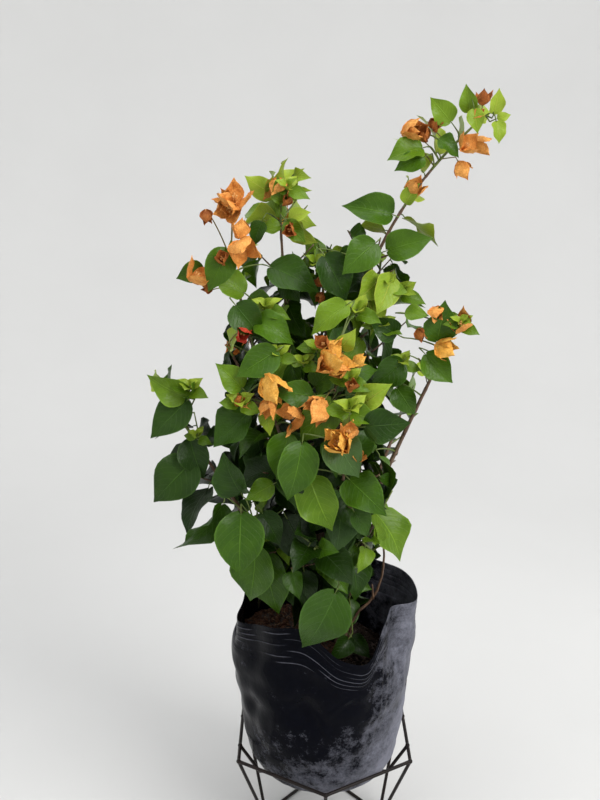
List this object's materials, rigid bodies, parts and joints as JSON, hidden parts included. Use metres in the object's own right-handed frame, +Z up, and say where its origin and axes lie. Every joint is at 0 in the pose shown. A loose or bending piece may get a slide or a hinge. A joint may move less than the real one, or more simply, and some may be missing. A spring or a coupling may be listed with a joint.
{
  "type": "potted bougainvillea",
  "caption": "Bougainvillea bush with orange bracts and heart-shaped green leaves, growing in a black nursery grow bag on a dark welded wire plant stand.",
  "frame": {"origin": "centre of the whole part's footprint, on the floor under the stand", "axes": "+Z up; -Y towards the viewer of the picture; +X to the right in the picture, the way the tall cane leans"},
  "size_m": [0.455, 0.347, 1.0577],
  "materials": {
    "wire": "satin dark paint on round steel wire",
    "bag": "thin black polyethylene film, creased, dusty low down",
    "soil": "loose coir and bark crumbs",
    "bark": "finely fissured grey-brown bark",
    "leaves": "soft satin leaves, papery orange bracts"
  },
  "bodies": {
    "root": {"ring_wire_1": "wire", "ring_wire_2": "wire", "ring_wire_3": "wire", "ring_wire_4": "wire", "ring_wire_5": "wire", "ring_wire_6": "wire", "base_wire_1": "wire", "base_wire_2": "wire", "base_wire_3": "wire", "base_wire_4": "wire", "leg_front": "wire", "leg_right_front": "wire", "leg_right_back": "wire", "leg_back": "wire", "leg_left_back": "wire", "leg_left_front": "wire", "cradle_wire_front": "wire", "cradle_wire_back": "wire", "grow_bag": "bag", "potting_soil": "soil", "trunk": "bark", "bough_tall_right": "bark", "foliage_tall_right": "leaves", "bough_top_left": "bark", "foliage_top_left": "leaves", "bough_crown_left": "bark", "foliage_crown_left": "leaves", "bough_left_high": "bark", "foliage_left_high": "leaves", "bough_crown_middle": "bark", "foliage_crown_middle": "leaves", "bough_crown_right": "bark", "foliage_crown_right": "leaves", "bough_right_mid": "bark", "foliage_right_mid": "leaves", "bough_front_high": "bark", "foliage_front_high": "leaves", "bough_front_left": "bark", "foliage_front_left": "leaves", "bough_front_mid": "bark", "foliage_front_mid": "leaves", "bough_left_low": "bark", "foliage_left_low": "leaves", "bough_right_low": "bark", "foliage_right_low": "leaves", "bough_low_left": "bark", "foliage_low_left": "leaves", "bough_low_front": "bark", "foliage_low_front": "leaves", "bough_low_right": "bark", "foliage_low_right": "leaves", "bough_back_high": "bark", "foliage_back_high": "leaves", "bough_back_left": "bark", "foliage_back_left": "leaves", "bough_back_right": "bark", "foliage_back_right": "leaves", "bough_back_low": "bark", "foliage_back_low": "leaves"}
  },
  "joints": []
}
